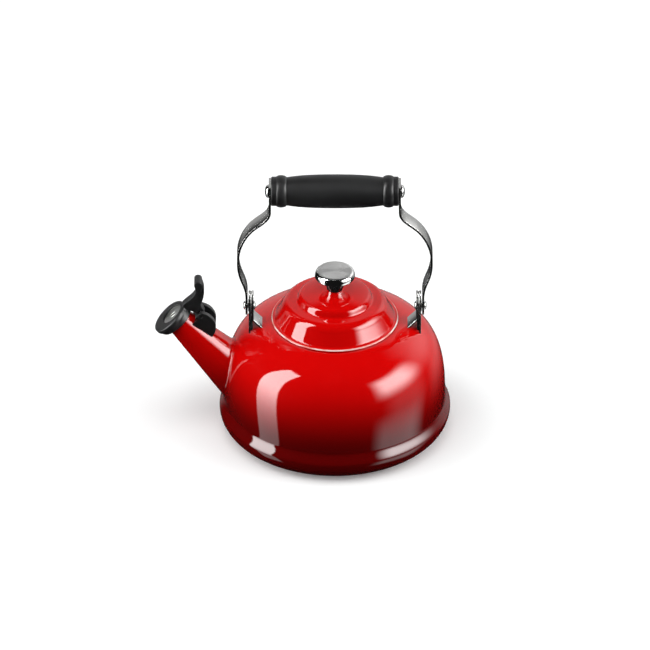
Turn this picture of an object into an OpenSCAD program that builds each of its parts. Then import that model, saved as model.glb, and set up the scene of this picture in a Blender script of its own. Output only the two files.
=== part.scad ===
// Stovetop whistling kettle. Millimetres, +Z up, spout towards -X.
// The origin is the centre of the flat under the base pan.

/* [Body] */
// Greatest radius of the rounded base pan
pan_r = 95.8; // [94:0.1:97]
// Height at which the base pan is widest
pan_bulge_z = 18; // [16:0.5:20]
// Radius of the flat under the base pan
foot_r = 77; // [74:1:82]
// Radius of the body wall just above the seam
wall_r = 91.5; // [90:0.5:92]
// Height of the lap seam between pan and wall
seam_z = 29.5; // [28:0.5:31]
// Height of the lid seat at the top of the dome
seat_z = 101; // [99:0.5:103]
// Radius of the filling mouth
mouth_r = 46; // [44:0.5:47]
// Thickness of the enamelled sheet
sheet_t = 1.4; // [1.2:0.1:1.6]

/* [Lid] */
// Radius of the lid rim
lid_r = 52.6; // [51:0.2:53]
// Radius of the lid knob
knob_r = 16.6; // [15:0.2:18]
// Height of the flat top of the knob
knob_top_z = 149; // [147:0.5:151]
// Height where the knob stands on the lid
knob_foot_z = 130.6; // [130:0.1:131]

/* [Bail] */
// Height of the pivot rivets
pivot_z = 114.7; // [112:0.1:116]
// Height of the grip axis
grip_z = 226.1; // [224:0.1:232]
// Width of the steel straps
strap_w = 16; // [14:0.5:18]
// Thickness of the steel straps
strap_t = 1.8; // [1.5:0.1:2]
// Distance of the strap ends from the centre at the grip
grip_half = 53.5; // [52:0.5:55]
// Distance of the straps from the centre at the pivots
strap_x = 73; // [72.8:0.1:73.2]
// Radius at the middle of the grip
grip_r = 14; // [13:0.2:15]
// Radius of the tie rod through the grip
rod_r = 3; // [2.5:0.1:3.5]

/* [Spout] */
// Angle of the spout axis above the horizontal
spout_a = 47; // [45:0.5:49]
// Outer radius of the spout at its tip
tip_r = 11.3; // [11:0.1:11.6]
// Half angle of the spout cone
spout_half = 8; // [7:0.1:9]
// Distance of the tip centre from the kettle axis
tip_x = 129.2; // [128:0.2:131]
// Height of the tip centre
tip_z = 100.4; // [98:0.2:102]

/* [Whistle] */
// Radius of the whistle cap's front flange
flange_r = 16.2; // [15:0.2:17]
// Distance of the cap's front face from the spout tip
face_d = 8.6; // [8:0.2:9.4]
// Distance of the hinge pin from the spout axis
hinge_h = 19; // [18.5:0.1:19.5]
// Distance of the hinge pin behind the spout tip
hinge_back = 6.5; // [6:0.1:7]
// Radius of the hinge pin
pin_r = 1.25; // [1:0.05:1.5]
// Width of the clamp that straddles the spout
clamp_w = 18; // [17:0.5:19]

/* [Hidden] */

enamel = "firebrick";
satin = "silver";
polished = "gainsboro";
phenolic = "dimgray";

$fn = 96;
// Gap between pieces that slide past or rest on each other
gap = 0.3;
// Radial clearance of a running pin
run = 0.06;
// Running past a face so that a cut is clean
eps = 0.5;

// Body details
joggle_r = wall_r - sheet_t - 0.1;
bead_ease = 2.2;
valley_z = 27;
shoulder = [68, seat_z - 7.2];
seat_in = mouth_r + 2.6;

// Lid details
rim_r = 1.5;
flange_out = mouth_r - 0.6;
flange_top = seat_z + 1.4;
flange_low = seat_z - 9;
flange_t = 1.1;
washer_h = 1;
screw_head_h = 2.4;
screw_up = 9;
screw_r = 2;
screw_hole_r = 2.6;
lid_under_z = knob_foot_z - sheet_t;

// Bail details
leg_t = 1.5;
leg_out_x = strap_x - strap_t/2 - gap - 0.5 - leg_t/2;
leg_in_x = leg_out_x - 2.6;
leg_top_z = 126;
filler_w = 10;
filler_top = 119.5;
leg_shoulder = pivot_z + 3;
loop_half = 1;
rivet_r = 2.5;
rivet_head_r = 3.7;
rivet_head_h = 1.6;
washer_t = 0.5;
nut_r = 5.5;
nut_h = 3.2;

// Whistle details
cap_back = 0.5;
cap_in = tip_r + 0.7;
cap_out = cap_in + 1.3;
flange_off = -3.4;
flange_rim = 3.6;
flange_flare = 2.6;
disc_r = 9.7;
web_w = 8;
slot_w = web_w + 1.4;
tab_w = 13;
knuckle_r = 3.4;
slot_half = 1.6;
slot_long = 2.8;
coil_in = 2.2;
coil_r = pin_r + 0.6;
wire_r = 0.28;
coil_pitch = 0.58;
hump = [10.6, -13];
hump_r = 14.2;
clamp_low = 6;
ear_front = 4;
saddle_front = 7;
clamp_end = 28;
slot_floor = hinge_h - 4.1;
slot_back = 15;
ear_gap = hinge_h + 1;
screw_back = 22.8;
clamp_top = 16.6;
clamp_screw_r = 1.25;
clamp_head_r = 2.3;

// Points of a cubic curve, without its first point
function cubic(a, b, c, d, n) = [for (i = [1:n]) let (t = i/n, s = 1 - t)
    s*s*s*a + 3*s*s*t*b + 3*s*t*t*c + t*t*t*d];

// Points of an arc, both ends included
function arc(c, r, a0, a1, n) = [for (i = [0:n]) let (a = a0 + (a1 - a0)*i/n)
    c + r*[cos(a), sin(a)]];

function unit(v) = v/norm(v);
function left_of(v) = [-v[1], v[0]];
function way(p, i) = unit(p[i + 1] - p[i]);

// A path moved sideways by d to its left, with mitred corners
function beside(p, d) = [for (i = [0:len(p) - 1]) let (
    a = left_of(i == 0 ? way(p, 0) : way(p, i - 1)),
    b = left_of(i == len(p) - 1 ? way(p, i - 1) : way(p, i)))
    p[i] + d*(a + b)/(1 + a*b)];

function backwards(p) = [for (i = [len(p) - 1:-1:0]) p[i]];

// Closed outline of a sheet that lies to the left of a path
function sheet(p, t) = concat(p, backwards(beside(p, t)));

// Closed outline of a strip centred on a path
function strip(p, t) = concat(beside(p, -t/2), backwards(beside(p, t/2)));

// Outer profile of the base pan, radius and height, from the centre to the lip
pan_path = concat([[0, 0], [foot_r, 0]],
    cubic([foot_r, 0], [87, 0], [pan_r, 7.6], [pan_r, pan_bulge_z], 10),
    cubic([pan_r, pan_bulge_z], [pan_r, pan_bulge_z + bead_ease],
          [wall_r, valley_z - bead_ease], [wall_r, valley_z], 8),
    [[wall_r, seam_z]]);

// Outer profile of the wall and dome, from the seam up to the seat
dome_path = concat([[wall_r, seam_z + 0.7]],
    cubic([wall_r, seam_z + 0.7], [wall_r + 0.2, 65], [86.3, 83.5], shoulder, 14),
    cubic(shoulder, [63.2, seat_z - 4.6], [58, seat_z - 1.9], [53, seat_z - 0.3], 4));

// The whole body shell, from its joggled lower edge to the turned-down mouth
shell_path = concat([[joggle_r, seam_z - 8.5], [joggle_r, seam_z + 0.2]], dome_path,
    [[seat_in, seat_z]],
    arc([mouth_r + 2.4, seat_z - 2.4], 2.4, 105, 180, 5),
    [[mouth_r, seat_z - 8]]);

// Outer profile of the lid, from the rim in to the screw hole
lid_path = concat([[lid_r - 0.4, seat_z + 0.5]],
    arc([lid_r - rim_r, seat_z + 1.4], rim_r, -20, 75, 4),
    [[50, 104], [49.1, 105.2], [46.4, 110], [43.8, 114.8]],
    cubic([43.8, 114.8], [42.8, 117.2], [40.6, 119.4], [38.3, 120.2], 5),
    [[34.9, 120.7], [31.9, 121.3]],
    cubic([31.9, 121.3], [30.3, 121.8], [30.4, 125.6], [27.6, 126.9], 5),
    cubic([27.6, 126.9], [20, 129.6], [12, 130.4], [6.5, knob_foot_z], 6),
    [[screw_hole_r, knob_foot_z]]);

// Outline of the knob, from the foot up to the flat top
knob_path = concat([[0, knob_foot_z], [6.3, knob_foot_z]],
    cubic([6.3, knob_foot_z], [7.4, 134], [8.2, 141.6], [knob_r - 1.4, 142.6], 8),
    arc([knob_r - 1.2, 143.8], 1.2, -80, 0, 4),
    cubic([knob_r, 143.8], [knob_r, 146.8], [knob_r - 1, knob_top_z], [12.4, knob_top_z], 5),
    [[0, knob_top_z]]);

// Middle line of the right-hand strap, seen from the front
strap_path = concat([[grip_half, grip_z + 8], [grip_half, 210]],
    cubic([grip_half, 210], [grip_half, 202.6], [59.6, 199.2], [65.8, 194], 7),
    cubic([65.8, 194], [73, 188], [79.8, 176], [79.8, 163], 8),
    cubic([79.8, 163], [80.8, 144], [73.4, 141], [strap_x, 127], 8),
    [[strap_x, pivot_z - 8]]);

// Middle line of the right-hand bracket: outer leg, hairpin, inner leg and foot
bracket_path = concat([[leg_out_x, 86]],
    arc([(leg_out_x + leg_in_x)/2, leg_top_z], (leg_out_x - leg_in_x)/2, 0, 180, 8),
    [[leg_in_x, 106.2], [leg_in_x - 0.6, 104.4], [58.6, 95.2]]);

// Side outline of the thumb lever and the web that joins it to the cap
lever_path = concat([[-124.4, 113.2], [-126.2, 116.4]],
    cubic([-126.2, 116.4], [-122, 121.5], [-115.4, 125], [-114.9, 130.4], 7),
    cubic([-114.9, 130.4], [-114.4, 133.4], [-116.9, 136.8], [-116.2, 138.8], 5),
    cubic([-116.2, 138.8], [-115.4, 141], [-111.4, 141.8], [-110, 139], 5),
    cubic([-110, 139], [-107.2, 133], [-107.2, 126], [-111, 117], 7),
    [[-108, 110.8], [-112.2, 106.4], [-114.6, 109], [-118.4, 111]]);

// Outline of the bent front face of the thumb tab, which is wider than the web
tab_path = concat([[-114.9, 130.4]],
    cubic([-114.9, 130.4], [-114.4, 133.4], [-116.9, 136.8], [-116.2, 138.8], 5),
    cubic([-116.2, 138.8], [-115.4, 141], [-111.4, 141.8], [-110, 139], 5),
    cubic([-110, 139], [-109, 136.8], [-110.4, 133.4], [-110.4, 130.4], 5));

// Frame with its origin at the spout tip, +Z out along the spout and +X upwards
module at_tip() {
    translate([-tip_x, 0, tip_z])
        rotate([0, spout_a - 90, 0])
            children();
}

module at_hinge() {
    at_tip()
        translate([hinge_h, 0, -hinge_back])
            children();
}

// A front-view outline made w wide along Y
module slab(points, w) {
    translate([0, w/2, 0])
        rotate([90, 0, 0])
            linear_extrude(w)
                polygon(points);
}

// A cylinder along X that starts at x
module rod_x(x, r, h, z) {
    translate([x, 0, z])
        rotate([0, 90, 0])
            cylinder(r = r, h = h);
}

// A cylinder across the whistle, centred on the middle plane
module across(r, w) {
    rotate([90, 0, 0])
        cylinder(r = r, h = w, center = true);
}

// Solid body volume inside the outer skin, used to trim what stands on it
module body_volume() {
    rotate_extrude()
        polygon(concat(pan_path, dome_path, [[0, seat_z - 0.3]]));
}

module spout_cone(grow) {
    length = 84;
    translate([0, 0, -length])
        cylinder(r1 = tip_r + length*tan(spout_half) + grow, r2 = tip_r + grow, h = length);
}

module right_strap() {
    difference() {
        intersection() {
            slab(strip(strap_path, strap_t), strap_w);
            union() {
                translate([40, -strap_w/2, pivot_z])
                    cube([60, strap_w, grip_z + 8 - pivot_z]);
                rod_x(40, strap_w/2, 60, pivot_z);
            }
        }
        rod_x(60, rivet_r + run, 30, pivot_z);
        rod_x(40, rod_r + 0.1, 30, grip_z);
    }
}

// Side outline of a bracket, full width up to its shoulder and narrow at the loop
function bracket_side() =
    let (low = pivot_z - 30, rise = leg_top_z + (leg_out_x - leg_in_x + leg_t)/2 - leg_shoulder)
    let (edge = [for (i = [0:8]) let (a = 90*i/8)
        [loop_half + (strap_w/2 - loop_half)*cos(a), leg_shoulder + rise*sin(a)]])
    concat([[-strap_w/2, low], [strap_w/2, low]], edge,
        [for (p = backwards(edge)) [-p[0], p[1]]]);

// A hairpin of strip, stiffened by a narrower filler between its two legs
module right_bracket() {
    difference() {
        intersection() {
            union() {
                slab(strip(bracket_path, leg_t), strap_w);
                translate([leg_in_x, -filler_w/2, pivot_z - 30])
                    cube([leg_out_x - leg_in_x, filler_w, filler_top - pivot_z + 30]);
            }
            translate([50, 0, 0])
                rotate([90, 0, 90])
                    linear_extrude(30)
                        polygon(bracket_side());
        }
        body_volume();
        rod_x(50, rivet_r, 40, pivot_z);
    }
}

module right_rivet() {
    inner_x = leg_in_x - leg_t/2;
    outer_x = strap_x + strap_t/2 + gap;
    rod_x(inner_x - 0.5, rivet_r, outer_x - inner_x + 1, pivot_z);
    translate([outer_x, 0, pivot_z])
        rotate([0, 90, 0])
            rivet_head();
    translate([inner_x, 0, pivot_z])
        rotate([0, -90, 0])
            rivet_head();
}

module rivet_head() {
    rotate_extrude()
        polygon(concat([[0, 0], [rivet_head_r, 0]],
            cubic([rivet_head_r, 0], [rivet_head_r, 0.9], [2.4, rivet_head_h],
                  [0, rivet_head_h], 6)));
}

module body_shell() {
    color(enamel) difference() {
        rotate_extrude()
            polygon(sheet(shell_path, sheet_t));
        difference() {
            at_tip()
                spout_cone(-sheet_t);
            translate([-150, -50, 0])
                cube([100, 100, seam_z + 2]);
        }
    }
}

module base_pan() {
    color(enamel) rotate_extrude()
        polygon(sheet(pan_path, sheet_t));
}

module spout() {
    color(enamel) difference() {
        at_tip()
            spout_cone(0);
        at_tip()
            translate([0, 0, eps])
                spout_cone(-sheet_t);
        body_volume();
        clamp_hole();
    }
}

module bracket_right() {
    color(satin) right_bracket();
}

module bracket_left() {
    color(satin) mirror([1, 0, 0])
        right_bracket();
}

module pivot_washers() {
    color(polished) for (side = [0, 1]) mirror([side, 0, 0])
        difference() {
            rod_x(leg_out_x + leg_t/2, 5, washer_t, pivot_z);
            rod_x(60, rivet_r, 30, pivot_z);
        }
}

module pivot_rivet_right() {
    color(polished) right_rivet();
}

module pivot_rivet_left() {
    color(polished) mirror([1, 0, 0])
        right_rivet();
}

module strap_right() {
    color(satin) right_strap();
}

module strap_left() {
    color(satin) mirror([1, 0, 0])
        right_strap();
}

// Half of the grip's outline: barrel, bead and end collar
function grip_half_path() =
    let (end = grip_half - strap_t/2 - 0.1, bead = end - 8.3)
    concat(cubic([0, grip_r], [20, grip_r], [30, grip_r - 0.8], [bead - 5.4, grip_r - 2.2], 8),
        [[bead - 4.4, grip_r - 2.3]],
        cubic([bead - 4.4, grip_r - 2.3], [bead - 3.4, grip_r - 0.1],
              [bead + 3, grip_r - 0.1], [bead + 4, grip_r - 1.9], 8),
        [[end - 1, grip_r - 1.9], [end, grip_r - 2.9]]);

module grip() {
    half = grip_half_path();
    other = [for (p = backwards(half)) [-p[0], p[1]]];
    end = grip_half - strap_t/2 - 0.1;
    color(phenolic) translate([0, 0, grip_z])
        rotate([0, 90, 0])
            rotate_extrude()
                polygon([for (p = concat([[end, rod_r + 0.1], [-end, rod_r + 0.1]], other,
                    [[0, grip_r]], half)) [p[1], p[0]]]);
}

module tie_rod() {
    reach = grip_half + strap_t/2 + nut_h - 1.2;
    color(polished) rod_x(-reach, rod_r, reach*2, grip_z);
}

module grip_nuts() {
    color(polished) for (side = [0, 1]) mirror([side, 0, 0])
        translate([grip_half + strap_t/2, 0, grip_z])
            rotate([0, 90, 0])
                rotate_extrude()
                    polygon(concat([[rod_r, 0], [nut_r, 0], [nut_r, 0.8]],
                        cubic([nut_r, 0.8], [nut_r, 2.2], [3, nut_h], [0, nut_h], 6),
                        [[0, nut_h - 1.2], [rod_r, nut_h - 1.2]]));
}

module lid_shell() {
    color(enamel) rotate_extrude()
        polygon(sheet(lid_path, sheet_t));
}

// The ring that rests on the seat and the skirt that keeps the lid centred
module lid_flange() {
    ring_out = lid_r - 2.2;
    skirt_in = flange_out - flange_t;
    color(enamel) rotate_extrude()
        polygon([[ring_out, flange_top], [ring_out, flange_top - flange_t],
            [flange_out, flange_top - flange_t], [flange_out, flange_low],
            [skirt_in, flange_low], [skirt_in, flange_top]]);
}

module lid_knob() {
    color(satin) difference() {
        rotate_extrude()
            polygon(knob_path);
        translate([0, 0, knob_foot_z - eps])
            cylinder(r = screw_r, h = screw_up + eps);
    }
}

module knob_washer() {
    color(polished) translate([0, 0, lid_under_z - washer_h])
        difference() {
            cylinder(r = 6.2, h = washer_h);
            translate([0, 0, -eps])
                cylinder(r = screw_hole_r, h = washer_h + 2*eps);
        }
}

// A slotted screw that comes up through the lid into the knob
module knob_screw() {
    color(polished) translate([0, 0, lid_under_z - washer_h])
        difference() {
            union() {
                translate([0, 0, -screw_head_h])
                    cylinder(r = 4.4, h = screw_head_h);
                cylinder(r = screw_r, h = screw_up);
            }
            translate([-5, -0.6, -screw_head_h - eps])
                cube([10, 1.2, 1.6]);
        }
}

// Rounded clamp: a saddle on the spout with two ears that carry the hinge pin
module whistle_clamp() {
    color(phenolic) difference() {
        at_tip()
            intersection() {
                translate([hump[0], 0, hump[1]])
                    across(hump_r, clamp_w);
                translate([clamp_low, -clamp_w/2, -clamp_end])
                    cube([hump_r*2, clamp_w, clamp_end - ear_front]);
            }
        at_tip()
            spout_cone(0);
        // The slot for the knuckle, and the open space above it between the ears
        at_tip()
            translate([slot_floor, -slot_w/2, -slot_back])
                cube([hump_r*2, slot_w, slot_back]);
        at_tip()
            translate([ear_gap, -slot_w/2, -clamp_end*2])
                cube([hump_r*2, slot_w, clamp_end*2]);
        // The saddle stops short of the ears, clear of the cap's back edge
        at_tip()
            translate([0, -clamp_w, -saddle_front])
                cube([slot_floor, clamp_w*2, saddle_front]);
        at_tip()
            translate([clamp_top, 0, -screw_back])
                rotate([0, 90, 0])
                    cylinder(r = clamp_head_r + 0.2, h = 20);
        at_hinge()
            across(pin_r, clamp_w*2);
        clamp_hole();
    }
}

// The hole for the clamp screw, square to the spout axis
module clamp_hole() {
    at_tip()
        translate([5, 0, -screw_back])
            rotate([0, 90, 0])
                cylinder(r = clamp_screw_r, h = 15);
}

module clamp_screw() {
    color(polished) at_tip()
        translate([clamp_top, 0, -screw_back])
            rotate([0, 90, 0])
                difference() {
                    union() {
                        translate([0, 0, -4.4])
                            cylinder(r = clamp_screw_r, h = 4.4);
                        cylinder(r = clamp_head_r, h = 1.3);
                    }
                    translate([-0.4, -4, 0.7])
                        cube([0.8, 8, 2]);
                }
}

// The cap: a cup over the spout tip, a larger front flange and the thumb lever
module whistle_cap() {
    color(phenolic) difference() {
        union() {
            at_tip()
                translate([0, 0, -cap_back])
                    cylinder(r = cap_out, h = cap_back + face_d - 1);
            at_tip()
                translate([flange_off, 0, 0])
                    rotate_extrude()
                        polygon([[0, 0], [flange_r - flange_flare, 0],
                            [flange_r, face_d - flange_rim], [flange_r, face_d - 0.8],
                            [flange_r - 0.8, face_d], [0, face_d]]);
            slab(lever_path, web_w);
            slab(tab_path, tab_w);
            at_hinge()
                across(knuckle_r, web_w);
        }
        at_tip()
            translate([0, 0, -cap_back - 12])
                cylinder(r = cap_in, h = cap_back + 12 + 0.4);
        at_tip()
            translate([0, 0, -eps])
                cylinder(r = disc_r - 1, h = 20);
        at_tip()
            translate([0, 0, 1.2])
                cylinder(r = disc_r, h = 20);
        at_hinge()
            across(pin_r + run, clamp_w*2);
        for (side = [-1, 1]) at_hinge()
            translate([0, side*(coil_in + 5), 0])
                across(coil_r + 0.7, 10);
    }
}

// The sealed cup behind the front disc, with the hole that the steam enters by
module whistle_capsule() {
    color(polished) at_tip()
        difference() {
            translate([0, 0, 1.2])
                cylinder(r = disc_r, h = face_d - 3.4);
            translate([0, 0, 1.8])
                cylinder(r = disc_r - 0.6, h = 10);
            cylinder(r = 2, h = 10);
        }
}

module whistle_disc() {
    top = face_d - 1.4;
    color(satin) at_tip()
        translate([0, 0, top - 0.8])
            difference() {
                cylinder(r = disc_r, h = 0.8);
                translate([-slot_long/2, -slot_half, -1])
                    cube([slot_long, slot_half*2, 4]);
                for (side = [-1, 1])
                    translate([side*slot_long/2, 0, -1])
                        cylinder(r = slot_half, h = 4);
            }
}

module hinge_pin() {
    color(polished) at_hinge()
        across(pin_r, clamp_w - 0.4);
}

// One wire as a closed mesh: a ring of points at each step along the coil
module coil(turns, steps, sides) {
    count = turns*steps;
    points = [for (i = [0:count], k = [0:sides - 1]) let (
        turn = 360*i/steps,
        b = 360*k/sides,
        r = coil_r + wire_r*cos(b))
        [r*cos(turn), coil_pitch*i/steps + wire_r*sin(b), r*sin(turn)]];
    sides_of = [for (i = [0:count - 1], k = [0:sides - 1]) let (
        a = i*sides + k,
        b = i*sides + (k + 1)%sides)
        [a, b, b + sides, a + sides]];
    start = [for (k = [sides - 1:-1:0]) k];
    finish = [for (k = [0:sides - 1]) count*sides + k];
    polyhedron(points, concat(sides_of, [start, finish]), convexity = 6);
}

// A torsion spring in two coils, one on each side of the knuckle
module whistle_spring() {
    color(polished) for (side = [0, 1]) at_hinge()
        mirror([0, side, 0])
            translate([0, coil_in + wire_r + 0.1, 0])
                coil(3, 18, 8);
}

body_shell();
base_pan();
spout();
bracket_left();
bracket_right();
pivot_washers();
pivot_rivet_left();
pivot_rivet_right();
strap_left();
strap_right();
grip();
tie_rod();
grip_nuts();
lid_shell();
lid_flange();
lid_knob();
knob_washer();
knob_screw();
whistle_clamp();
clamp_screw();
whistle_cap();
whistle_capsule();
whistle_disc();
hinge_pin();
whistle_spring();
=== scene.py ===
"""The looks of the stovetop whistling kettle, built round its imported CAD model.

Outlines are in millimetres, as in the CAD, and become metres when a mesh is made.
"""

import math

import bmesh
import bpy
import numpy as np
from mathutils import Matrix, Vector


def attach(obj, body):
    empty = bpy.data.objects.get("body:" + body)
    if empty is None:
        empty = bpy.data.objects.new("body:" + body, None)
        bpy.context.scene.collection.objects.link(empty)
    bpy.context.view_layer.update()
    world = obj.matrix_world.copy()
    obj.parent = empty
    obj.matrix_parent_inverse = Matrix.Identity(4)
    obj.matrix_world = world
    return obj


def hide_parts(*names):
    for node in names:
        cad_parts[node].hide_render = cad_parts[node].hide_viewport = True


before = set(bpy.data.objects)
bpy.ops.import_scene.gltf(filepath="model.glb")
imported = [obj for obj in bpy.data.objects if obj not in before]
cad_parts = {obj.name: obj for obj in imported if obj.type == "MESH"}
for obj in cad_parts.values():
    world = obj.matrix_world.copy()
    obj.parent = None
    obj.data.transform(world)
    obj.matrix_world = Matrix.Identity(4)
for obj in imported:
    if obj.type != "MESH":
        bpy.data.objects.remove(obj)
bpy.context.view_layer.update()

MM = 0.001  # metres in a millimetre

# Driving dimensions in millimetres, the same as the CAD's

# Base pan and body
FOOT_R = 77  # flat bottom
PAN_R = 95.8  # widest ring of the base
PAN_BULGE_Z = 18  # height of that ring
VALLEY_Z = 27  # hollow between the base's bead and the wall
BEAD_EASE = 2.2  # how softly the bead turns in and out
WALL_R = 91.5
SEAM_Z = 29.5  # lap seam of wall and pan
SEAT_Z = 101  # seat of the lid
MOUTH_R = 46
SHEET_T = 1.4  # thickness of every enamelled sheet

# Lid
LID_R = 52.6
RIM_R = 1.5  # bead round the lid's rim
RIM_UP = 1.4  # middle of that bead above the seat
KNOB_R = 16.6
KNOB_FOOT_Z = 130.6
KNOB_TOP_Z = 149
SCREW_R = 2
SCREW_UP = 9  # how far the screw's hole goes up into the knob

# Bail
PIVOT_Z = 114.7
GRIP_Z = 226.1
GRIP_R = 14
GRIP_HALF = 53.5  # half of the space between the straps' middles
ROD_R = 3
STRAP_W = 16
STRAP_T = 1.8
STRAP_X = 73
NUT_R = 5.5
NUT_H = 3.2

# Brackets and rivets
LEG_T = 1.5
LEG_OUT_X = 70.55
LEG_IN_X = 67.95
LEG_TOP_Z = 126
FILLER_W = 10  # folded sheet between the legs
FILLER_TOP = 119.5
RIVET_R = 2.5
HEAD_R = 3.7
HEAD_H = 1.6
GAP = 0.3  # play between a rivet's head and its strap

# Spout and whistle
SPOUT_A = math.radians(47)  # rise of the spout
SPOUT_HALF = math.radians(8)  # half of the cone's angle
TIP_R = 11.3
TIP = np.array([-129.2, 0, 100.4])
FACE_D = 8.6  # whistle's face from the tip
DISC_R = 9.7
SLOT_HALF = 1.6
SLOT_LONG = 2.8

# How finely pieces are turned, in sides
LARGE_SIDES = 192
MIDDLE_SIDES = 128
SMALL_SIDES = 64

PLAY = 0.1  # between the grip and its rod and straps
FACES_DOWN = -0.2  # a face whose normal's z is less looks down
SIDES = {"right": 1, "left": -1}


# ---------------------------------------------------------------- outlines

def points(*pairs):
    """Arrays made of pairs of numbers."""
    return [np.array(p, float) for p in pairs]


def cubic(a, b, c, d, n=24):
    """Points of a cubic curve, without its first point."""
    a, b, c, d = points(a, b, c, d)
    steps = [i / n for i in range(1, n + 1)]
    return [(1 - t)**3*a + 3*(1 - t)**2*t*b + 3*(1 - t)*t*t*c + t**3*d for t in steps]


def arc(centre, r, a0, a1, n=12):
    """Points of an arc in degrees, both ends included."""
    turns = [math.radians(a0 + (a1 - a0)*i/n) for i in range(n + 1)]
    return [np.array(centre) + r*np.array([math.cos(a), math.sin(a)]) for a in turns]


def line(a, b, n):
    """Points along a straight stretch, without its first point."""
    a, b = points(a, b)
    return [a + (b - a)*i/n for i in range(1, n + 1)]


def ways(path):
    """Unit directions at the points of a path."""
    path = np.array(path)
    steps = np.diff(path, axis=0)
    steps /= np.linalg.norm(steps, axis=1)[:, None]
    joined = np.vstack([steps[:1], steps[:-1] + steps[1:], steps[-1:]])
    return joined / np.linalg.norm(joined, axis=1)[:, None]


def beside(path, d):
    """The path moved d to its left, without the points that would fold over in a tight bend."""
    nearest = 0.995*d
    path = np.array(path)
    moved = path + d*np.column_stack([-ways(path)[:, 1], ways(path)[:, 0]])
    clear = np.linalg.norm(moved[:, None] - path[None], axis=2).min(axis=1) > nearest
    return list(moved[clear])


def sheet(path, t):
    """Closed outline of a sheet that lies to the left of a path."""
    return list(path) + beside(path, t)[::-1]


PAN_PATH = (
    points((0, 0), (40, 0), (FOOT_R - 3, 0), (FOOT_R, 0))
    + cubic((FOOT_R, 0), (87, 0), (PAN_R, 7.6), (PAN_R, PAN_BULGE_Z), 48)
    + cubic((PAN_R, PAN_BULGE_Z), (PAN_R, PAN_BULGE_Z + BEAD_EASE),
            (WALL_R, VALLEY_Z - BEAD_EASE), (WALL_R, VALLEY_Z), 36)
    + line((WALL_R, VALLEY_Z), (WALL_R, SEAM_Z), 3)
)
DOME_PATH = (
    points((WALL_R, SEAM_Z + 0.02))
    + cubic((WALL_R, SEAM_Z + 0.7), (WALL_R + 0.2, 65), (86.3, 83.5), (68, 93.8), 72)
    + cubic((68, 93.8), (63.2, SEAT_Z - 4.6), (58, SEAT_Z - 1.9), (53, SEAT_Z - 0.3), 24)
)
LAP_R = WALL_R - 1.5
SHELL_PATH = (
    points((LAP_R, 21), (LAP_R, 25), (LAP_R, SEAM_Z), (WALL_R - 0.2, SEAM_Z + 0.04))
    + DOME_PATH
    + cubic((53, SEAT_Z - 0.3), (51.5, SEAT_Z - 0.1), (50, SEAT_Z), (MOUTH_R + 2.6, SEAT_Z), 6)
    + arc((MOUTH_R + 2.4, SEAT_Z - 2.4), 2.4, 92, 180, 14)
    + line((MOUTH_R, SEAT_Z - 2.4), (MOUTH_R, SEAT_Z - 8), 3)
)
LID_PATH = (
    points((LID_R - 0.4, SEAT_Z + 0.5))
    + arc((LID_R - RIM_R, SEAT_Z + RIM_UP), RIM_R, -20, 75, 14)
    + cubic((LID_R - 1.11, SEAT_Z + 2.85), (50.2, 104.1), (49.8, 104.1), (49.1, 105.2), 10)
    + line((49.1, 105.2), (43.8, 114.8), 10)
    + cubic((43.8, 114.8), (42.8, 117.2), (40.6, 119.4), (38.3, 120.2))
    + cubic((38.3, 120.2), (36.6, 120.6), (34.4, 120.7), (31.9, 121.3), 12)
    + cubic((31.9, 121.3), (30.3, 121.8), (30.4, 125.6), (27.6, 126.9))
    + cubic((27.6, 126.9), (20, 129.6), (12, 130.4), (6.5, KNOB_FOOT_Z), 32)
    + points((2.6, KNOB_FOOT_Z))
)
KNOB_PATH = (
    points((SCREW_R, KNOB_FOOT_Z), (6, KNOB_FOOT_Z))
    + arc((6, KNOB_FOOT_Z + 0.4), 0.4, -90, 0, 4)
    + cubic((6.4, KNOB_FOOT_Z + 0.4), (7.4, 134), (8.2, 141.6), (KNOB_R - 1.4, 142.6), 40)
    + arc((KNOB_R - 1.2, 143.8), 1.2, -80, 0, 12)
    + cubic((KNOB_R, 143.8), (KNOB_R, 146.8), (KNOB_R - 1, KNOB_TOP_Z), (12.4, KNOB_TOP_Z))
    + points((8, KNOB_TOP_Z), (4, KNOB_TOP_Z), (0, KNOB_TOP_Z))
    + points((0, KNOB_FOOT_Z + SCREW_UP), (SCREW_R, KNOB_FOOT_Z + SCREW_UP))
)
FLANGE_OUT = MOUTH_R - 0.6
FLANGE_T = 1.1
FLANGE_TOP = SEAT_Z + 1.4
FLANGE_LOW = SEAT_Z - 9
FLANGE_RING = (
    points((LID_R - 2.2, FLANGE_TOP), (LID_R - 2.2, FLANGE_TOP - FLANGE_T))
    + arc((FLANGE_OUT + 0.6, FLANGE_TOP - FLANGE_T - 0.6), 0.6, 90, 180, 6)
    + points((FLANGE_OUT, FLANGE_LOW + 0.5))
    + arc((FLANGE_OUT - FLANGE_T/2, FLANGE_LOW + 0.5), FLANGE_T/2, 0, -180, 8)
    + points((FLANGE_OUT - FLANGE_T, FLANGE_TOP))
)
STRAP_PATH = (
    points((GRIP_HALF, GRIP_Z + 8), (GRIP_HALF, GRIP_Z), (GRIP_HALF, 210))
    + cubic((GRIP_HALF, 210), (GRIP_HALF, 202.6), (59.6, 199.2), (65.8, 194))
    + cubic((65.8, 194), (73, 188), (79.8, 176), (79.8, 163))
    + cubic((79.8, 163), (80.8, 144), (73.4, 141), (STRAP_X, 127))
    + line((STRAP_X, 127), (STRAP_X, PIVOT_Z), 8)
)


def from_axis(p):
    """Distance of a point from the kettle's upright axis."""
    return math.hypot(p[0], p[1])


def body_radius(z):
    """Outer radius of the body at a height above the foot."""
    flat_points = 3
    outline = np.array(PAN_PATH[flat_points:] + DOME_PATH)
    return np.interp(z, outline[:, 1], outline[:, 0])


# ---------------------------------------------------------------- meshes

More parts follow.
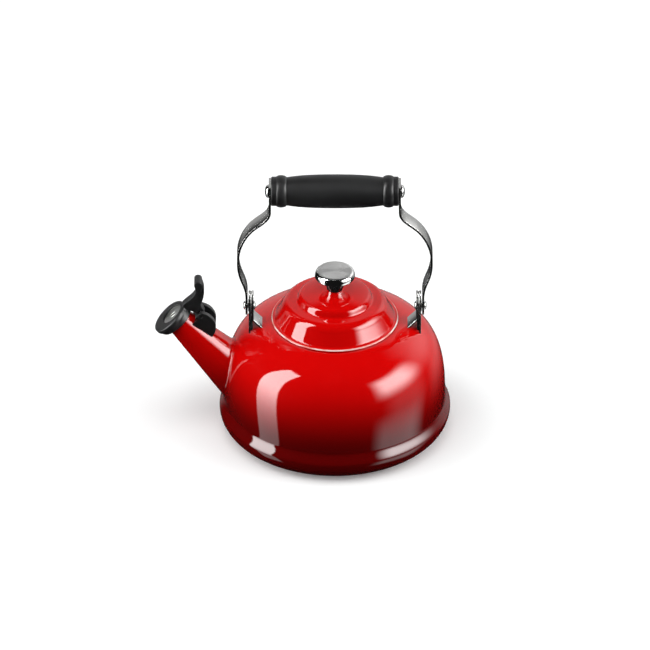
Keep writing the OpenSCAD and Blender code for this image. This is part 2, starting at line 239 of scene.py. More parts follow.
def upright(p):
    """The placing of a piece that is turned round the kettle's own axis."""
    return p


def at_tip(p):
    """From the frame at the spout tip, +Z out along the spout, to the kettle's."""
    out = np.array([-math.cos(SPOUT_A), 0, math.sin(SPOUT_A)])
    over = np.array([math.sin(SPOUT_A), 0, math.cos(SPOUT_A)])
    return TIP + p[0]*over + p[1]*np.array([0, 1, 0]) + p[2]*out


def along_x(x, z):
    """Placing that turns +Z into +X and starts at x and height z."""
    return lambda p: np.array([x + p[2], p[0], z + p[1]])


def mesh_piece(name, verts, faces, sharp=35):
    """A smooth-shaded mesh object made of corners in millimetres."""
    mesh = bpy.data.meshes.new(name)
    mesh.from_pydata([tuple(MM*np.array(v)) for v in verts], [], faces)
    work = bmesh.new()
    work.from_mesh(mesh)
    bmesh.ops.recalc_face_normals(work, faces=work.faces)
    work.to_mesh(mesh)
    work.free()
    piece = bpy.data.objects.new(name, mesh)
    bpy.context.scene.collection.objects.link(piece)
    shade(piece, sharp)
    return piece


def shade(piece, sharp=35):
    """Smooth shading, with a sharp edge wherever two faces meet at more than an angle in degrees."""
    piece.data.polygons.foreach_set("use_smooth", [True]*len(piece.data.polygons))
    piece.data.set_sharp_from_angle(angle=math.radians(sharp))


def bridge(low, high):
    """Faces between two closed rows of corners; a row of one corner is a point."""
    faces = []
    count = max(len(low), len(high))
    for i in range(count):
        j = (i + 1) % count
        quad = [low[i % len(low)], low[j % len(low)], high[j % len(high)], high[i % len(high)]]
        corners = list(dict.fromkeys(quad))
        if len(corners) > 2:
            faces.append(corners)
    return faces


def lathe(name, outline, sides=LARGE_SIDES, place=upright, sharp=35):
    """An outline of (radius, height) turned round its axis. It closes on the axis or on itself."""
    on_axis = 1e-6
    verts, rows = [], []
    for r, h in outline:
        turns = [0] if r < on_axis else [2*math.pi*i/sides for i in range(sides)]
        rows.append(list(range(len(verts), len(verts) + len(turns))))
        verts += [place(np.array([r*math.cos(a), r*math.sin(a), h])) for a in turns]
    faces = [f for low, high in zip(rows, rows[1:]) for f in bridge(low, high)]
    if len(rows[0]) > 1 or len(rows[-1]) > 1:
        faces += bridge(rows[-1], rows[0])
    return mesh_piece(name, verts, faces, sharp)


def strip(name, path, half_widths, t, side, corner=0.2):
    """A sheet-metal strip along a front-view path, with rounded edges, on the right or the left."""
    sharp = 20
    verts, rows = [], []
    turns = [math.radians(a) for a in (0, 30, 60, 90)]
    for p, w, half in zip(path, ways(path), half_widths):
        r = min(corner, half)
        rim = [(half - r + r*math.sin(a), t/2 - r + r*math.cos(a)) for a in turns]
        rim += [(y, -n) for y, n in rim[::-1]]
        rim += [(-y, n) for y, n in rim[::-1]]
        rows.append(list(range(len(verts), len(verts) + len(rim))))
        for y, n in rim:
            verts.append((side*(p[0] - n*w[1]), y, p[1] + n*w[0]))
    faces = [f for low, high in zip(rows, rows[1:]) for f in bridge(low, high)]
    return mesh_piece(name, verts, faces + [rows[0], rows[-1]], sharp)


def apply_modifiers(piece):
    """Turns the piece's modifiers into its mesh."""
    bpy.context.view_layer.update()
    graph = bpy.context.evaluated_depsgraph_get()
    mesh = bpy.data.meshes.new_from_object(piece.evaluated_get(graph))
    piece.modifiers.clear()
    piece.data = mesh


def cut(piece, tool):
    """Takes a closed tool mesh out of a piece and deletes the tool."""
    modifier = piece.modifiers.new("cut", "BOOLEAN")
    modifier.operation = "DIFFERENCE"
    modifier.solver = "EXACT"
    modifier.object = tool
    apply_modifiers(piece)
    bpy.data.objects.remove(tool)
    shade(piece)


def joined(name, *pieces, sharp=35):
    """One piece made of several closed meshes."""
    verts, faces = [], []
    for piece in pieces:
        start = len(verts)
        verts += [v.co / MM for v in piece.data.vertices]
        faces += [[start + v for v in f.vertices] for f in piece.data.polygons]
        bpy.data.objects.remove(piece)
    return mesh_piece(name, verts, faces, sharp)


def moulded(name, node, voxel, passes):
    """A CAD node's shape with the soft edges and fillets of a moulding."""
    piece = bpy.data.objects.new(name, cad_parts[node].data.copy())
    bpy.context.scene.collection.objects.link(piece)
    piece.data.materials.clear()
    remesh = piece.modifiers.new("remesh", "REMESH")
    remesh.mode = "VOXEL"
    remesh.voxel_size = voxel*MM
    smooth = piece.modifiers.new("smooth", "SMOOTH")
    smooth.factor = 0.5
    smooth.iterations = passes
    apply_modifiers(piece)
    shade(piece, sharp=60)
    return piece


# ---------------------------------------------------------------- materials

def add(tree, kind, inputs=None, **settings):
    """A new node; inputs are given by name or place, as values or as sockets to link."""
    node = tree.nodes.new(kind)
    for key, value in settings.items():
        setattr(node, key, value)
    for key, value in (inputs or {}).items():
        if isinstance(value, bpy.types.NodeSocket):
            tree.links.new(value, node.inputs[key])
        else:
            node.inputs[key].default_value = value
    return node


def maths(tree, operation, *values):
    """The result of a maths node on numbers or sockets."""
    return add(tree, "ShaderNodeMath", dict(enumerate(values)), operation=operation).outputs[0]


def ramp(tree, value, low, high, to_low=0.0, to_high=1.0, how="SMOOTHSTEP"):
    """value taken from low..high to to_low..to_high."""
    inputs = {0: value, 1: low, 2: high, 3: to_low, 4: to_high}
    return add(tree, "ShaderNodeMapRange", inputs, interpolation_type=how).outputs[0]


def rgb(r, g, b):
    """A colour with full cover."""
    return (r, g, b, 1)


def blended(tree, share, a, b):
    """Colour a turning into colour b as share goes from 0 to 1."""
    return add(tree, "ShaderNodeMix", {0: share, 6: a, 7: b}, data_type="RGBA").outputs[2]


def noise(tree, place, scale, detail=3.0, stretch=(1, 1, 1)):
    """Noise with scale features to the metre, along the object's own axes."""
    moved = add(tree, "ShaderNodeMapping", {0: place, 3: stretch}).outputs[0]
    return add(tree, "ShaderNodeTexNoise", {0: moved, "Scale": scale, "Detail": detail}).outputs[0]


def new_material(name):
    """A material, its tree, its Principled node and the object's own coordinates."""
    material = bpy.data.materials.new(name)
    material.use_nodes = True
    tree = material.node_tree
    shader = tree.nodes["Principled BSDF"]
    place = add(tree, "ShaderNodeTexCoord").outputs["Object"]
    return material, tree, shader, place


def bump(tree, shader, height, depth):
    """Relief of the given depth in millimetres."""
    node = add(tree, "ShaderNodeBump", {"Height": height, "Distance": depth*MM, "Strength": 1.0})
    tree.links.new(node.outputs[0], shader.inputs["Normal"])


def height_of(tree, place):
    """Height above the foot in metres."""
    return add(tree, "ShaderNodeSeparateXYZ", {0: place}).outputs[2]


def colour_by(tree, shader, share, a, b):
    """Gives the shader a base colour between a and b."""
    tree.links.new(blended(tree, share, a, b), shader.inputs["Base Color"])


def rough_by(tree, shader, place, scale, low, high):
    """Gives the shader a roughness that drifts between low and high."""
    drift = noise(tree, place, scale)
    tree.links.new(ramp(tree, drift, 0.3, 0.7, low, high), shader.inputs["Roughness"])


def enamel():
    """Glossy red enamel that deepens to a dark cherry towards the base."""
    material, tree, shader, place = new_material("red_enamel")
    deep_below = 28*MM
    bright_above = 84*MM
    waver = 3*MM
    cloud = maths(tree, "MULTIPLY", noise(tree, place, 14, 2), waver)
    height = maths(tree, "ADD", height_of(tree, place), cloud)
    share = ramp(tree, height, deep_below, bright_above)
    fine = noise(tree, place, 120)
    deep = blended(tree, fine, rgb(0.108, 0.0006, 0.0008), rgb(0.122, 0.0009, 0.001))
    coarse = noise(tree, place, 90)
    bright = blended(tree, coarse, rgb(0.60, 0.0012, 0.001), rgb(0.64, 0.0018, 0.0016))
    colour_by(tree, shader, share, deep, bright)
    rough_by(tree, shader, place, 60, 0.035, 0.06)
    bump(tree, shader, noise(tree, place, 260, 1), 0.004)
    return material


def dark_enamel():
    """The speckled black enamel inside."""
    material, tree, shader, place = new_material("dark_enamel")
    fleck = ramp(tree, noise(tree, place, 700, 2), 0.66, 0.7)
    colour_by(tree, shader, fleck, rgb(0.012, 0.012, 0.013), rgb(0.30, 0.30, 0.31))
    rough_by(tree, shader, place, 80, 0.1, 0.2)
    bump(tree, shader, noise(tree, place, 300, 1), 0.006)
    return material


def painted_rim_highlight():
    """Painted highlight: a pale pinkish white that stands in for the light caught along the lid's rim
    bead.
    """
    material, tree, shader, place = new_material("painted_rim_highlight")
    cloud = ramp(tree, noise(tree, place, 40), 0.4, 0.6)
    colour_by(tree, shader, cloud, rgb(0.76, 0.22, 0.18), rgb(0.90, 0.74, 0.71))
    rough_by(tree, shader, place, 60, 0.1, 0.2)
    return material


def tones(colour, *parts):
    """Darker and lighter versions of a colour."""
    return [rgb(*[c*part for c in colour]) for part in parts]


def steel(name, colour, roughness, stretch, scratch):
    """Stainless steel with a grain stretched along one of the object's axes, and scratch mm deep."""
    material, tree, shader, place = new_material(name)
    shader.inputs["Metallic"].default_value = 1
    grain = noise(tree, place, 5200, 3, stretch)
    colour_by(tree, shader, grain, *tones(colour, 0.94, 1.04))
    smear = maths(tree, "MULTIPLY", noise(tree, place, 45, 2), 0.05)
    rough = maths(tree, "ADD", ramp(tree, grain, 0.25, 0.75, *roughness), smear)
    tree.links.new(rough, shader.inputs["Roughness"])
    bump(tree, shader, grain, scratch)
    return material


def turned_steel():
    """Satin steel with the fine rings of turning on its top and a polish below."""
    material, tree, shader, place = new_material("turned_steel")
    shader.inputs["Metallic"].default_value = 1
    shader.inputs["Anisotropic"].default_value = 0.75
    x, y, z = add(tree, "ShaderNodeSeparateXYZ", {0: place}).outputs
    across = add(tree, "ShaderNodeCombineXYZ", {0: x, 1: y}).outputs[0]
    radius = add(tree, "ShaderNodeVectorMath", {0: across}, operation="LENGTH").outputs["Value"]
    rings = add(tree, "ShaderNodeCombineXYZ", {0: radius, 2: z}).outputs[0]
    groove = noise(tree, rings, 2600, 2)
    on_top = ramp(tree, z, (KNOB_TOP_Z - 1)*MM, (KNOB_TOP_Z - 0.1)*MM)
    colour_by(tree, shader, groove, rgb(0.70, 0.70, 0.69), rgb(0.84, 0.84, 0.83))
    rough = ramp(tree, on_top, 0, 1, 0.07, 0.34, "LINEAR")
    tree.links.new(rough, shader.inputs["Roughness"])
    round_axis = add(tree, "ShaderNodeTangent", direction_type="RADIAL", axis="Z").outputs[0]
    tree.links.new(round_axis, shader.inputs["Tangent"])
    bump(tree, shader, maths(tree, "MULTIPLY", groove, on_top), 0.006)
    return material


def phenolic(name, colour, grain_scale, rough):
    """Black moulding with a fine matt grain and slight wear on the shine."""
    material, tree, shader, place = new_material(name)
    pores = noise(tree, place, grain_scale, 3)
    colour_by(tree, shader, noise(tree, place, 70), *tones(colour, 0.75, 1.3))
    worn = ramp(tree, noise(tree, place, 35, 2), 0.35, 0.65, rough - 0.04, rough + 0.06)
    tree.links.new(worn, shader.inputs["Roughness"])
    bump(tree, shader, pores, 0.012)
    return material


def floor_paper():
    """Pale matt paper that glows a little, so that it runs out into the white surround."""
    material, tree, shader, place = new_material("paper")
    fibre = noise(tree, place, 400, 4)
    colour_by(tree, shader, fibre, rgb(0.93, 0.94, 0.94), rgb(0.97, 0.98, 0.98))
    shader.inputs["Roughness"].default_value = 0.9
    shader.inputs["Specular IOR Level"].default_value = 0.0
    shader.inputs["Emission Color"].default_value = (1, 1, 1, 1)
    shader.inputs["Emission Strength"].default_value = 0.1
    return material


RED = enamel()
INSIDE = dark_enamel()
# Pale colour painted on the lid's rim bead as a highlight
RIM_HIGHLIGHT_PAINT = painted_rim_highlight()
SATIN = steel("satin_steel", (0.60, 0.60, 0.59), (0.14, 0.2), stretch=(1, 1, 0.03), scratch=0.0006)
BRIGHT = steel("bright_steel", (0.72, 0.72, 0.71), (0.08, 0.12), stretch=(1, 1, 1), scratch=0.0002)
PLATE = steel("pressed_steel", (0.66, 0.66, 0.65), (0.26, 0.32), stretch=(1, 0.05, 1), scratch=0.0005)
KNOB = turned_steel()
GRIP = phenolic("grip_phenolic", (0.011, 0.011, 0.0115), grain_scale=1300, rough=0.42)
MOULDING = phenolic("whistle_moulding", (0.012, 0.012, 0.0125), grain_scale=1700, rough=0.36)


# ---------------------------------------------------------------- pieces

def finish_piece(piece, body, slot, *materials):
    """Gives a built piece its materials and body, and hides the CAD node that it stands for; the slot
    is not used.
    """
    piece.data.materials.clear()
    for material in materials:
        piece.data.materials.append(material)
    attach(piece, body)
    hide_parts(piece.name.removesuffix("_skin"))


def paint_faces(piece, is_wanted, index=1):
    """Gives another of the piece's materials to the faces whose centre and normal pass a test."""
    for face in piece.data.polygons:
        if is_wanted(face.center / MM, face.normal):
            face.material_index = index


def inner_wall(centre, normal):
    """True on the faces of a turned shell that look towards its axis or down."""
    return centre[0]*normal[0] + centre[1]*normal[1] < 0 or normal[2] < FACES_DOWN


def inside_shell(centre, normal):
    """True on the shell's inner side, but not on the red turn of its mouth."""
    off_mouth = centre[2] < SEAT_Z - 9 or from_axis(centre) > MOUTH_R + 1
    return inner_wall(centre, normal) and off_mouth


def inside_pan(centre, normal):
    """True on the pan's inner floor and inner wall."""
    on_floor = centre[2] > 0.5 and normal[2] > 0.3 and from_axis(centre) < WALL_R - 4
    return on_floor or centre[2] > 20 and inner_wall(centre, normal)


def keep_out_of_reflections(piece):
    """Keeps the red off the steel and the black mouldings, which stay neutral."""
    piece.visible_glossy = False
    piece.visible_diffuse = False


def spout_hole():
    """The tapered tool that opens the body behind the spout."""
    far = 84
    near = 12
    spare = 0.25
    slope = math.tan(SPOUT_HALF)
    r0 = TIP_R - SHEET_T + spare
    outline = points((0, -far), (r0 + far*slope, -far), (r0 + near*slope, -near), (0, -near))
    return lathe("spout_hole", outline, MIDDLE_SIDES, at_tip)


def make_body():
    """The body shell, opened behind the spout, and the base pan under it."""
    shell = lathe("body_shell_skin", sheet(SHELL_PATH, SHEET_T))
    cut(shell, spout_hole())
    keep_out_of_reflections(shell)
    finish_piece(shell, "kettle", "enamel", RED, INSIDE)
    paint_faces(shell, inside_shell)
    pan = lathe("base_pan_skin", sheet(PAN_PATH, SHEET_T))
    finish_piece(pan, "kettle", "enamel", RED, INSIDE)
    paint_faces(pan, inside_pan)


def meets_body(start, way, depth=0):
    """Distance along a ray at which it goes into the body's outer skin, less a depth."""
    low = 0
    high = 90
    halvings = 40
    for _ in range(halvings):
        middle = (low + high) / 2
        p = start + middle*way
        if from_axis(p) < body_radius(p[2]) - depth:
            high = middle
        else:
            low = middle
    return high


def on_body(p, depth):
    """The point of the body's skin at p's height and side, sunk by a depth."""
    scale = (body_radius(p[2]) - depth) / from_axis(p)
    return np.array([p[0]*scale, p[1]*scale, p[2]])


def spout_wall(r, angle):
    """A point on the edge of the tip at radius r, and the direction down the cone from it."""
    start = at_tip(np.array([r*math.cos(angle), r*math.sin(angle), 0]))
    slope = math.tan(SPOUT_HALF)
    end = at_tip(np.array([(r + slope)*math.cos(angle), (r + slope)*math.sin(angle), -1]))
    way = end - start
    return start, way / np.linalg.norm(way)


def weld_fillet(outer, way, reach, weld):
    """Points from the spout's outer skin over a small weld onto the body's skin."""
    sunk = 0.06
    foot = outer + reach*way
    leave = foot - weld*way
    radial = np.array([foot[0], foot[1], 0]) / from_axis(foot)
    across = outer - TIP
    away = across - radial*np.dot(across, radial)
    spread = on_body(foot + weld*away/np.linalg.norm(away), sunk)
    return [(1 - s)**2*leave + 2*s*(1 - s)*foot + s*s*spread for s in np.linspace(0, 1, 13)[1:]]


def spout_column(angle):
    """Points down the outer skin from the tip, over the weld, up the inner skin and round the rim."""
    weld = 3.2
    rim = SHEET_T/2
    outer, way = spout_wall(TIP_R, angle)
    inner, _ = spout_wall(TIP_R - SHEET_T, angle)
    reach = meets_body(outer, way)
    inner_reach = meets_body(inner, way, SHEET_T)
    column = [outer + way*t for t in np.linspace(rim, reach - weld, 48)]
    column += weld_fillet(outer, way, reach, weld)
    column += [inner + way*t for t in np.linspace(inner_reach, rim, 24)]
    middle = (outer + inner) / 2 + way*rim
    half = (outer - inner) / 2
    turns = [math.pi*k/8 for k in range(1, 8)]
    return column + [middle - half*math.cos(a) - way*rim*math.sin(a) for a in turns]


def make_spout():
    """A tapered tube whose outer skin flows into the body in a small weld fillet."""
    sides = 160
    columns = [spout_column(2*math.pi*i/sides) for i in range(sides)]
    count = len(columns[0])
    verts = [p for column in columns for p in column]
    rows = [list(range(i*count, (i + 1)*count)) for i in range(sides)]
    faces = [f for a, b in zip(rows, rows[1:] + rows[:1]) for f in bridge(a, b)]
    spout = mesh_piece("spout_skin", verts, faces)
    finish_piece(spout, "kettle", "enamel", RED, INSIDE)
    axis = at_tip(np.array([0, 0, 1])) - TIP

    def looks_in(centre, normal):
        """True on the faces that look clearly towards the spout's axis."""
        out = np.array(centre) - TIP
        out -= axis*np.dot(out, axis)
        return np.dot(out, normal) < -1

    paint_faces(spout, looks_in)


def under_lid(centre, normal):
    """True on the lid's underside within its bead."""
    return normal[2] < FACES_DOWN and from_axis(centre) < LID_R - 2


def gets_painted_rim_highlight(centre, normal):
    """True on the upper outer side of the bead round the lid's rim, where the highlight is painted."""
    is_outer = from_axis(centre) > LID_R - 0.6*RIM_R
    is_upper = centre[2] > SEAT_Z + RIM_UP + 0.3*RIM_R
    return is_outer and is_upper


def make_lid():
    """The lid shell, the flange under it and the knob on it."""
    lid = lathe("lid_shell_skin", sheet(LID_PATH, SHEET_T))
    keep_out_of_reflections(lid)
    finish_piece(lid, "lid", "enamel", RED, INSIDE, RIM_HIGHLIGHT_PAINT)
    paint_faces(lid, under_lid)
    # The top of the rim bead gets the painted highlight colour
    paint_faces(lid, gets_painted_rim_highlight, 2)
    flange = lathe("lid_flange_skin", FLANGE_RING)
    finish_piece(flange, "lid", "enamel", INSIDE)
    knob = lathe("lid_knob_skin", KNOB_PATH, MIDDLE_SIDES, sharp=50)
    finish_piece(knob, "lid", "satin_steel", KNOB)


def grip_half_path():
    """Half of the grip's outline as (distance from the middle, radius)."""
    end = GRIP_HALF - STRAP_T/2 - PLAY
    bead = end - 8.3
    neck_r = GRIP_R - 2.2
    collar_r = GRIP_R - 1.9
    corner = 1
    return (
        cubic((0, GRIP_R), (20, GRIP_R), (30, GRIP_R - 0.8), (bead - 5.4, neck_r), 40)
        + line((bead - 5.4, neck_r), (bead - 4.4, neck_r - 0.1), 2)
        + cubic((bead - 4.4, neck_r - 0.1), (bead - 3.4, GRIP_R - 0.1),
                (bead + 3, GRIP_R - 0.1), (bead + 4, collar_r), 30)
        + line((bead + 4, collar_r), (end - corner, collar_r), 3)
        + arc((end - corner, collar_r - corner), corner, 90, 0, 6)[1:]
    )


def make_grip():
    """The moulded grip, bored from end to end for its tie rod."""
    half = grip_half_path()
    end = half[-1][0]
    other = [p * (-1, 1) for p in half[::-1]]
    bore = points((end, ROD_R + PLAY), (-end, ROD_R + PLAY))
    outline = [p[::-1] for p in bore + other + points((0, GRIP_R)) + half]
    grip = lathe("grip_skin", outline, MIDDLE_SIDES, along_x(0, GRIP_Z))
    finish_piece(grip, "bail", "grip_phenolic", GRIP)


def make_nuts():
    """The domed nuts on the ends of the tie rod, outside the straps."""
    wall = 1.2
    dome = (
        points((ROD_R, 0), (NUT_R, 0), (NUT_R, 0.5))
        + cubic((NUT_R, 0.5), (NUT_R, 2.0), (3.4, NUT_H), (0, NUT_H), 16)
        + points((0, NUT_H - wall), (ROD_R, NUT_H - wall))
    )
    nuts = []
    for side in SIDES.values():
        flipped = [p * (1, side) for p in dome]
        place = along_x(side*(GRIP_HALF + STRAP_T/2), GRIP_Z)
        nuts.append(lathe("nut", flipped, SMALL_SIDES, place))
    finish_piece(joined("grip_nuts_skin", *nuts), "bail", "bright_steel", BRIGHT)


def make_strap(name, side):
    """A strap with a round lower end about its pivot."""
    corner = 0.1
    least = 0.05
    ends = [math.radians(a) for a in range(6, 91, 6)]
    half = STRAP_W/2
    tip = [np.array([STRAP_X, PIVOT_Z - half*math.sin(a)]) for a in ends]
    widths = [half]*len(STRAP_PATH) + [max(least, half*math.cos(a)) for a in ends]
    strap = strip(f"strap_{name}_skin", STRAP_PATH + tip, widths, STRAP_T, side, corner)
    finish_piece(strap, "bail", "satin_steel", SATIN)


def bracket_path(leg_low, sunk, step):
    """Up the outer leg from the body, over the turn, down the inner leg and along its foot."""
    middle = (LEG_OUT_X + LEG_IN_X) / 2
    turn = (LEG_OUT_X - LEG_IN_X) / 2
    bow = 1.2
    foot_top = np.array([LEG_IN_X, 106.6])
    foot_way = np.array([58.6, 95.2]) - np.array([LEG_IN_X - 0.6, 104.4])
    foot_way /= np.linalg.norm(foot_way)
    bend = foot_top + np.array([-0.7, -2.4])
    reach = 0
    while bend[0] + reach*foot_way[0] > body_radius(bend[1] + reach*foot_way[1]) - sunk:
        reach += step
    return (
        points((LEG_OUT_X, leg_low))
        + line((LEG_OUT_X, leg_low), (LEG_OUT_X, LEG_TOP_Z), 40)
        + arc((middle, LEG_TOP_Z), turn, 0, 180, 20)[1:]
        + line((LEG_IN_X, LEG_TOP_Z), foot_top, 24)
        + cubic(foot_top, foot_top + (0, -bow), bend - bow*foot_way, bend, 10)
        + line(bend, bend + reach*foot_way, 10)
    )


def bracket_half_width(z):
    """Half of the bracket's width, which rounds off above the pivot to a narrow top."""
    narrow = 1
    shoulder = PIVOT_Z + 3
    rise = LEG_TOP_Z + (LEG_OUT_X - LEG_IN_X)/2 - shoulder
    up = max(0, (z - shoulder) / rise)
    return narrow + (STRAP_W/2 - narrow)*math.sqrt(max(0, 1 - up*up))


def make_bracket(name, side):
    """A hairpin of strip whose inner leg folds into a foot, with folded sheet between its legs."""
    sunk = 0.8
    step = 0.05
    leg_low = PIVOT_Z
    while body_radius(leg_low) - sunk < LEG_OUT_X:
        leg_low -= step
    path = bracket_path(leg_low, sunk, step)
    hairpin = strip("hairpin", path, [bracket_half_width(p[1]) for p in path], LEG_T, side)
    space = LEG_OUT_X - LEG_IN_X
    middle = LEG_OUT_X - space/2
    centre = points((middle, leg_low), (middle, (leg_low + FILLER_TOP)/2), (middle, FILLER_TOP))
    filler = strip("filler", centre, [FILLER_W/2]*3, space, side)
    bracket = joined(f"bracket_{name}_skin", hairpin, filler, sharp=20)
    finish_piece(bracket, "kettle", "satin_steel", SATIN)


def make_rivet(name, side):
    """A rivet through the strap and both legs, with a domed head at each end."""
    inner = LEG_IN_X - LEG_T/2
    outer = STRAP_X + STRAP_T/2 + GAP
    edge = 0.15
    head = (
        points((RIVET_R, 0), (HEAD_R - edge, 0), (HEAD_R, edge))
        + cubic((HEAD_R, edge), (HEAD_R, 1.0), (2.4, HEAD_H), (0, HEAD_H), 16)
    )
    low = [np.array([r, inner - h]) for r, h in head[::-1]]
    high = [np.array([r, outer + h]) for r, h in head]
    outline = [p * (1, side) for p in low + high]
    rivet = lathe(f"pivot_rivet_{name}_skin", outline, SMALL_SIDES, along_x(0, PIVOT_Z))
    finish_piece(rivet, "kettle", "bright_steel", BRIGHT)


def stadium(half, long, n=16):
    """Points round a slot that lies along its first axis."""
    high = arc((long/2, 0), half, -90, 90, n)
    low = arc((-long/2, 0), half, 90, 270, n)
    return high + low


def slot_tool(low, high):
    """The closed prism that cuts the whistle's slot, between two distances from the tip."""
    around = stadium(SLOT_HALF, SLOT_LONG)
    verts = [at_tip(np.array([x, y, z])) for z in (low, high) for x, y in around]
    rows = [list(range(len(around))), list(range(len(around), 2*len(around)))]
    return mesh_piece("slot", verts, bridge(*rows) + rows)


def slot_lip(z, r, sides=10):
    """A thin round ring, of section radius r, round the slot at a distance z from the tip."""
    verts, rows = [], []
    for x, y in stadium(SLOT_HALF, SLOT_LONG):
        centre = np.array([max(-SLOT_LONG/2, min(SLOT_LONG/2, x)), 0])
        out = (np.array([x, y]) - centre) / SLOT_HALF
        rows.append(list(range(len(verts), len(verts) + sides)))
        for k in range(sides):
            a = 2*math.pi*k/sides
            spot = centre + out*(SLOT_HALF + r + r*math.cos(a))
            verts.append(at_tip(np.array([*spot, z + r*math.sin(a)])))
    faces = [f for a, b in zip(rows, rows[1:] + rows[:1]) for f in bridge(a, b)]
    return mesh_piece("lip", verts, faces)


def make_disc():
    """The pressed front disc of the whistle, with a raised lip round its slot."""
    sides = 96
    top = FACE_D - 1.4
    rim = DISC_R - 0.1
    edge = 0.25
    low = top - 0.8
    dish = top - 0.35
    outline = (
        points((0, low), (rim, low), (rim, top - edge))
        + arc((rim - edge, top - edge), edge, 0, 90, 5)[1:]
        + cubic((rim - edge, top), (8.6, top), (8.4, dish), (7.4, dish), 10)
        + points((5, dish), (2.5, dish), (0, dish))
    )
    disc = lathe("disc", outline, sides, at_tip)
    cut(disc, slot_tool(top - 3, top + 3))
    lip = slot_lip(dish, edge)
    finish_piece(joined("whistle_disc_skin", disc, lip), "whistle", "satin_steel", PLATE)


def make_whistle():
    """The moulded cap and clamp, and the cap's disc."""
    cap = moulded("whistle_cap_skin", "whistle_cap", voxel=0.32, passes=8)
    finish_piece(cap, "whistle", "whistle_moulding", MOULDING)
    clamp = moulded("whistle_clamp_skin", "whistle_clamp", voxel=0.3, passes=6)
    finish_piece(clamp, "kettle", "whistle_moulding", MOULDING)
    make_disc()


def refinish_nodes():
    """The small CAD pieces that keep their shape get their finish."""
    for name in ("pivot_washers", "tie_rod", "knob_washer", "knob_screw", "clamp_screw",
                 "whistle_capsule", "hinge_pin", "whistle_spring"):
        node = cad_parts[name]
        node.data.materials.clear()
        node.data.materials.append(BRIGHT)


# ---------------------------------------------------------------- studio

def world_direction(tree):
    """Azimuth from the front towards +X and elevation in degrees, and x and z, of a ray's way."""
    way = add(tree, "ShaderNodeTexCoord").outputs["Generated"]
    x, y, z = add(tree, "ShaderNodeSeparateXYZ", {0: way}).outputs
    azimuth = maths(tree, "ARCTAN2", x, maths(tree, "MULTIPLY", y, -1.0))
    elevation = maths(tree, "ARCSINE", z)
    return [maths(tree, "DEGREES", a) for a in (azimuth, elevation)] + [x, z]


def band(tree, value, low, high, soft_low, soft_high):
    """1 between low and high, fading to 0 outside them."""
    rise = ramp(tree, value, low - soft_low, low + soft_low)
    fall = ramp(tree, value, high - soft_high, high + soft_high, 1.0, 0.0)
    return maths(tree, "MULTIPLY", rise, fall)


def chosen(tree, which, a, b):
    """a where which is 0 and b where it is 1."""
    return add(tree, "ShaderNodeMix", {0: which, 2: a, 3: b}, data_type="FLOAT").outputs[0]


def multiplied(tree, *values):
    """The product of numbers and sockets."""
    product = values[0]
    for value in values[1:]:
        product = maths(tree, "MULTIPLY", product, value)
    return product


def studio_dome(tree, x, z):
    """Light on matt surfaces: strongest overhead and at both sides, weak in front and from below."""
    height = ramp(tree, z, 0, 1, 0.42, 2.0, "LINEAR")
    sideways = maths(tree, "POWER", maths(tree, "ABSOLUTE", x), 5.0)
    sides = maths(tree, "ADD", multiplied(tree, sideways, 6.4), 0.14)
    below = ramp(tree, z, -0.05, 0.0, 0.36, 1.0, "LINEAR")
    return multiplied(tree, height, sides, below)


def studio_cards(tree, azimuth, elevation):
    """Light that gloss reflects: cards on a dark surround.

    A card's sides and its low and high edges are angles in degrees, each pair followed by how softly
    the two edges fade.
    """
    def card(sides, heights, strength):
        return multiplied(tree, band(tree, azimuth, *sides), band(tree, elevation, *heights), strength)

    level = 0.008
    tall_strip = ramp(tree, elevation, -36, 20, 1.6, 13.5)
    cards = [
        card((-86, -61, 1.0, 1.0), (-48, 59, 3, 2), tall_strip),
        card((49, 97, 10, 15), (10, 41, 13, 8), 13.0),
        card((58, 100, 12, 14), (-24, 6, 8, 10), 0.55),
        card((45, 96, 9, 12), (-48, -24, 5, 9), 1.6),
        card((96, 150, 14, 16), (8, 38, 14, 12), 1.0),
        card((118, 181, 12, 1), (-20, 52, 12, 8), 0.55),
        card((-181, -146, 1, 9), (-20, 52, 12, 8), 0.5),
    ]
    for light in cards:
        level = maths(tree, "ADD", level, light)
    return level


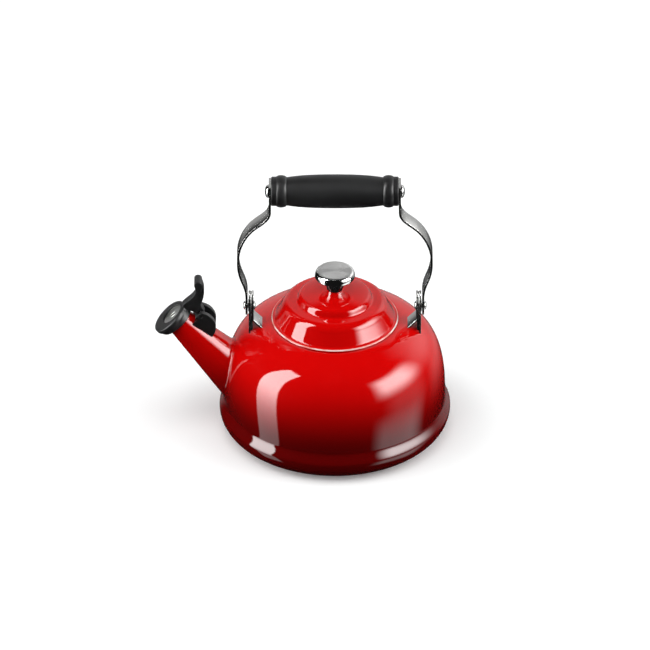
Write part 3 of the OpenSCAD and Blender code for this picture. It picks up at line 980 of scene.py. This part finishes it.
def studio_world():
    """A white surround for the camera, a dome for matt surfaces and cards for glossy ones."""
    world = bpy.data.worlds.new("studio")
    bpy.context.scene.world = world
    world.use_nodes = True
    world.cycles.sampling_method = "NONE"
    tree = world.node_tree
    tree.nodes.clear()
    azimuth, elevation, x, z = world_direction(tree)
    dome = studio_dome(tree, x, z)
    gloss = studio_cards(tree, azimuth, elevation)
    rays = add(tree, "ShaderNodeLightPath").outputs
    level = chosen(tree, rays["Is Glossy Ray"], dome, gloss)
    level = chosen(tree, rays["Is Camera Ray"], level, 1.0)
    background = add(tree, "ShaderNodeBackground", {0: level, 1: 1.0})
    output = add(tree, "ShaderNodeOutputWorld")
    tree.links.new(background.outputs[0], output.inputs[0])


def studio_floor():
    """A sheet of paper just under the foot, wider than the camera sees."""
    side = 3000
    z = -0.05
    verts = [(-side, -side, z), (side, -side, z), (side, side, z), (-side, side, z)]
    floor = mesh_piece("floor", verts, [[0, 1, 2, 3]])
    floor.data.materials.append(floor_paper())
    floor.visible_glossy = False
    floor.visible_diffuse = False


def aim(thing, target_z, azimuth, elevation, distance):
    """Puts a thing at a distance in metres from a point of the kettle's axis and turns it there."""
    az, el = math.radians(azimuth), math.radians(elevation)
    way = Vector((math.sin(az)*math.cos(el), -math.cos(az)*math.cos(el), math.sin(el)))
    thing.location = Vector((0, 0, target_z)) + distance*way
    thing.rotation_euler = way.to_track_quat("Z", "Y").to_euler()
    bpy.context.scene.collection.objects.link(thing)


def studio_light():
    """A large soft light overhead that only matt surfaces see."""
    data = bpy.data.lights.new("key", "AREA")
    data.shape = "DISK"
    data.size = 1.2
    data.energy = 9
    light = bpy.data.objects.new("key", data)
    light.visible_glossy = False
    light.visible_camera = False
    aim(light, target_z=0.08, azimuth=-10, elevation=70, distance=1.6)


def studio_camera():
    """A very long lens from the front, looking down at 33 degrees, as product pictures are taken."""
    data = bpy.data.cameras.new("camera")
    data.sensor_width = 36
    data.lens = 801.6
    data.clip_end = 100
    data.shift_x = -0.0152
    data.shift_y = 0.0547
    camera = bpy.data.objects.new("camera", data)
    aim(camera, target_z=0.06, azimuth=0, elevation=33, distance=12)
    bpy.context.scene.camera = camera


studio_camera()
make_body()
make_spout()
make_lid()
make_grip()
for side_name, side_sign in SIDES.items():
    make_strap(side_name, side_sign)
make_nuts()
for side_name, side_sign in SIDES.items():
    make_bracket(side_name, side_sign)
    make_rivet(side_name, side_sign)
make_whistle()
refinish_nodes()
studio_floor()
studio_world()
studio_light()
bpy.context.scene.view_settings.view_transform = "Standard"
